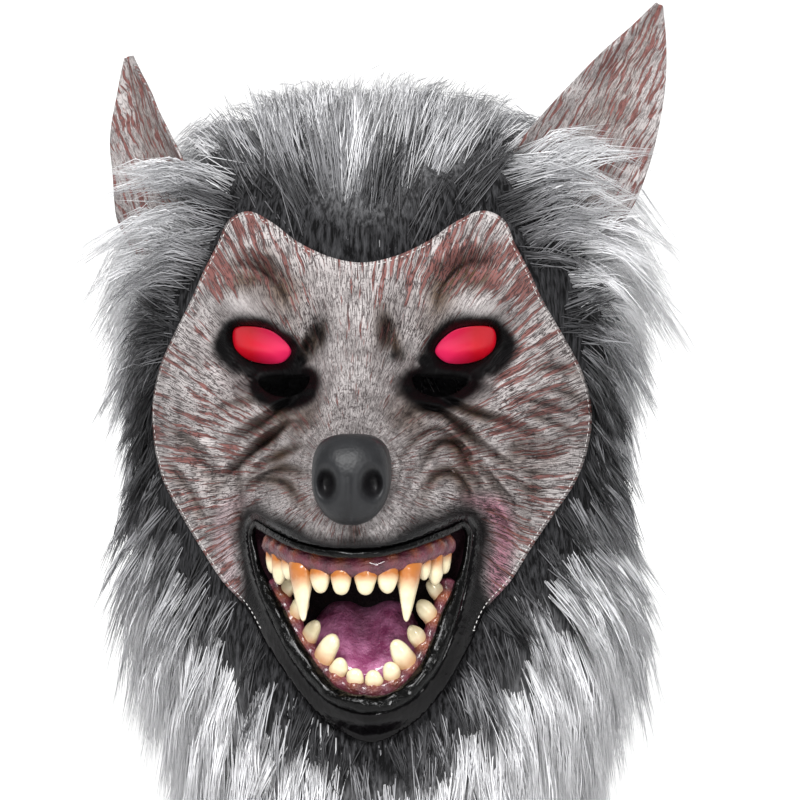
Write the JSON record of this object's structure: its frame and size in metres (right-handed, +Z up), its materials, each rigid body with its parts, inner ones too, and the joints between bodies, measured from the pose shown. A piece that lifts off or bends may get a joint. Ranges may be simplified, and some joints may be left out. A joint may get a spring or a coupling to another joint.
{
  "type": "latex wolf mask",
  "caption": "Full-head wolf mask: a moulded latex face with an open snarling mouth, red lenses, teeth and ears on a hollow hood of long faux fur.",
  "frame": {"origin": "inside of the crown, on the middle plane, where the wearer's head meets the hood", "axes": "+Z up, the face looks along -Y, +X towards the wearer's left"},
  "size_m": [0.2694, 0.3191, 0.4027],
  "materials": {
    "backing": "black knitted backing of the fur hood",
    "faux_fur": "long-pile faux fur, near-black at the roots and pale grey at the tips",
    "latex": "cast latex, grey, with a red-brown wash in carved hair strokes, matt",
    "nose_rubber": "dark grey latex, satin",
    "lens": "moulded red plastic, polished",
    "lip_rubber": "black latex, varnished to a wet gloss",
    "mouth_latex": "purple-red latex, varnished to a wet gloss",
    "tooth": "ivory, stained orange-brown at the root, glossy"
  },
  "bodies": {
    "root": {"hood": "backing", "fur": "faux_fur", "ear_left": "latex", "ear_right": "latex", "face": "latex", "nose": "nose_rubber", "lens_left": "lens", "lens_right": "lens", "lips": "lip_rubber", "mouth_lining": "mouth_latex", "upper_gum": "mouth_latex", "lower_gum": "mouth_latex", "tongue": "mouth_latex", "upper_fang_left": "tooth", "upper_fang_right": "tooth", "upper_incisor_1_left": "tooth", "upper_incisor_1_right": "tooth", "upper_incisor_2_left": "tooth", "upper_incisor_2_right": "tooth", "upper_premolar_left": "tooth", "upper_premolar_right": "tooth", "upper_molar_1_left": "tooth", "upper_molar_1_right": "tooth", "upper_molar_2_left": "tooth", "upper_molar_2_right": "tooth", "lower_fang_left": "tooth", "lower_fang_right": "tooth", "lower_incisor_1_left": "tooth", "lower_incisor_1_right": "tooth", "lower_incisor_2_left": "tooth", "lower_incisor_2_right": "tooth", "lower_premolar_left": "tooth", "lower_premolar_right": "tooth", "lower_molar_1_left": "tooth", "lower_molar_1_right": "tooth", "lower_molar_2_left": "tooth", "lower_molar_2_right": "tooth"}
  },
  "joints": []
}
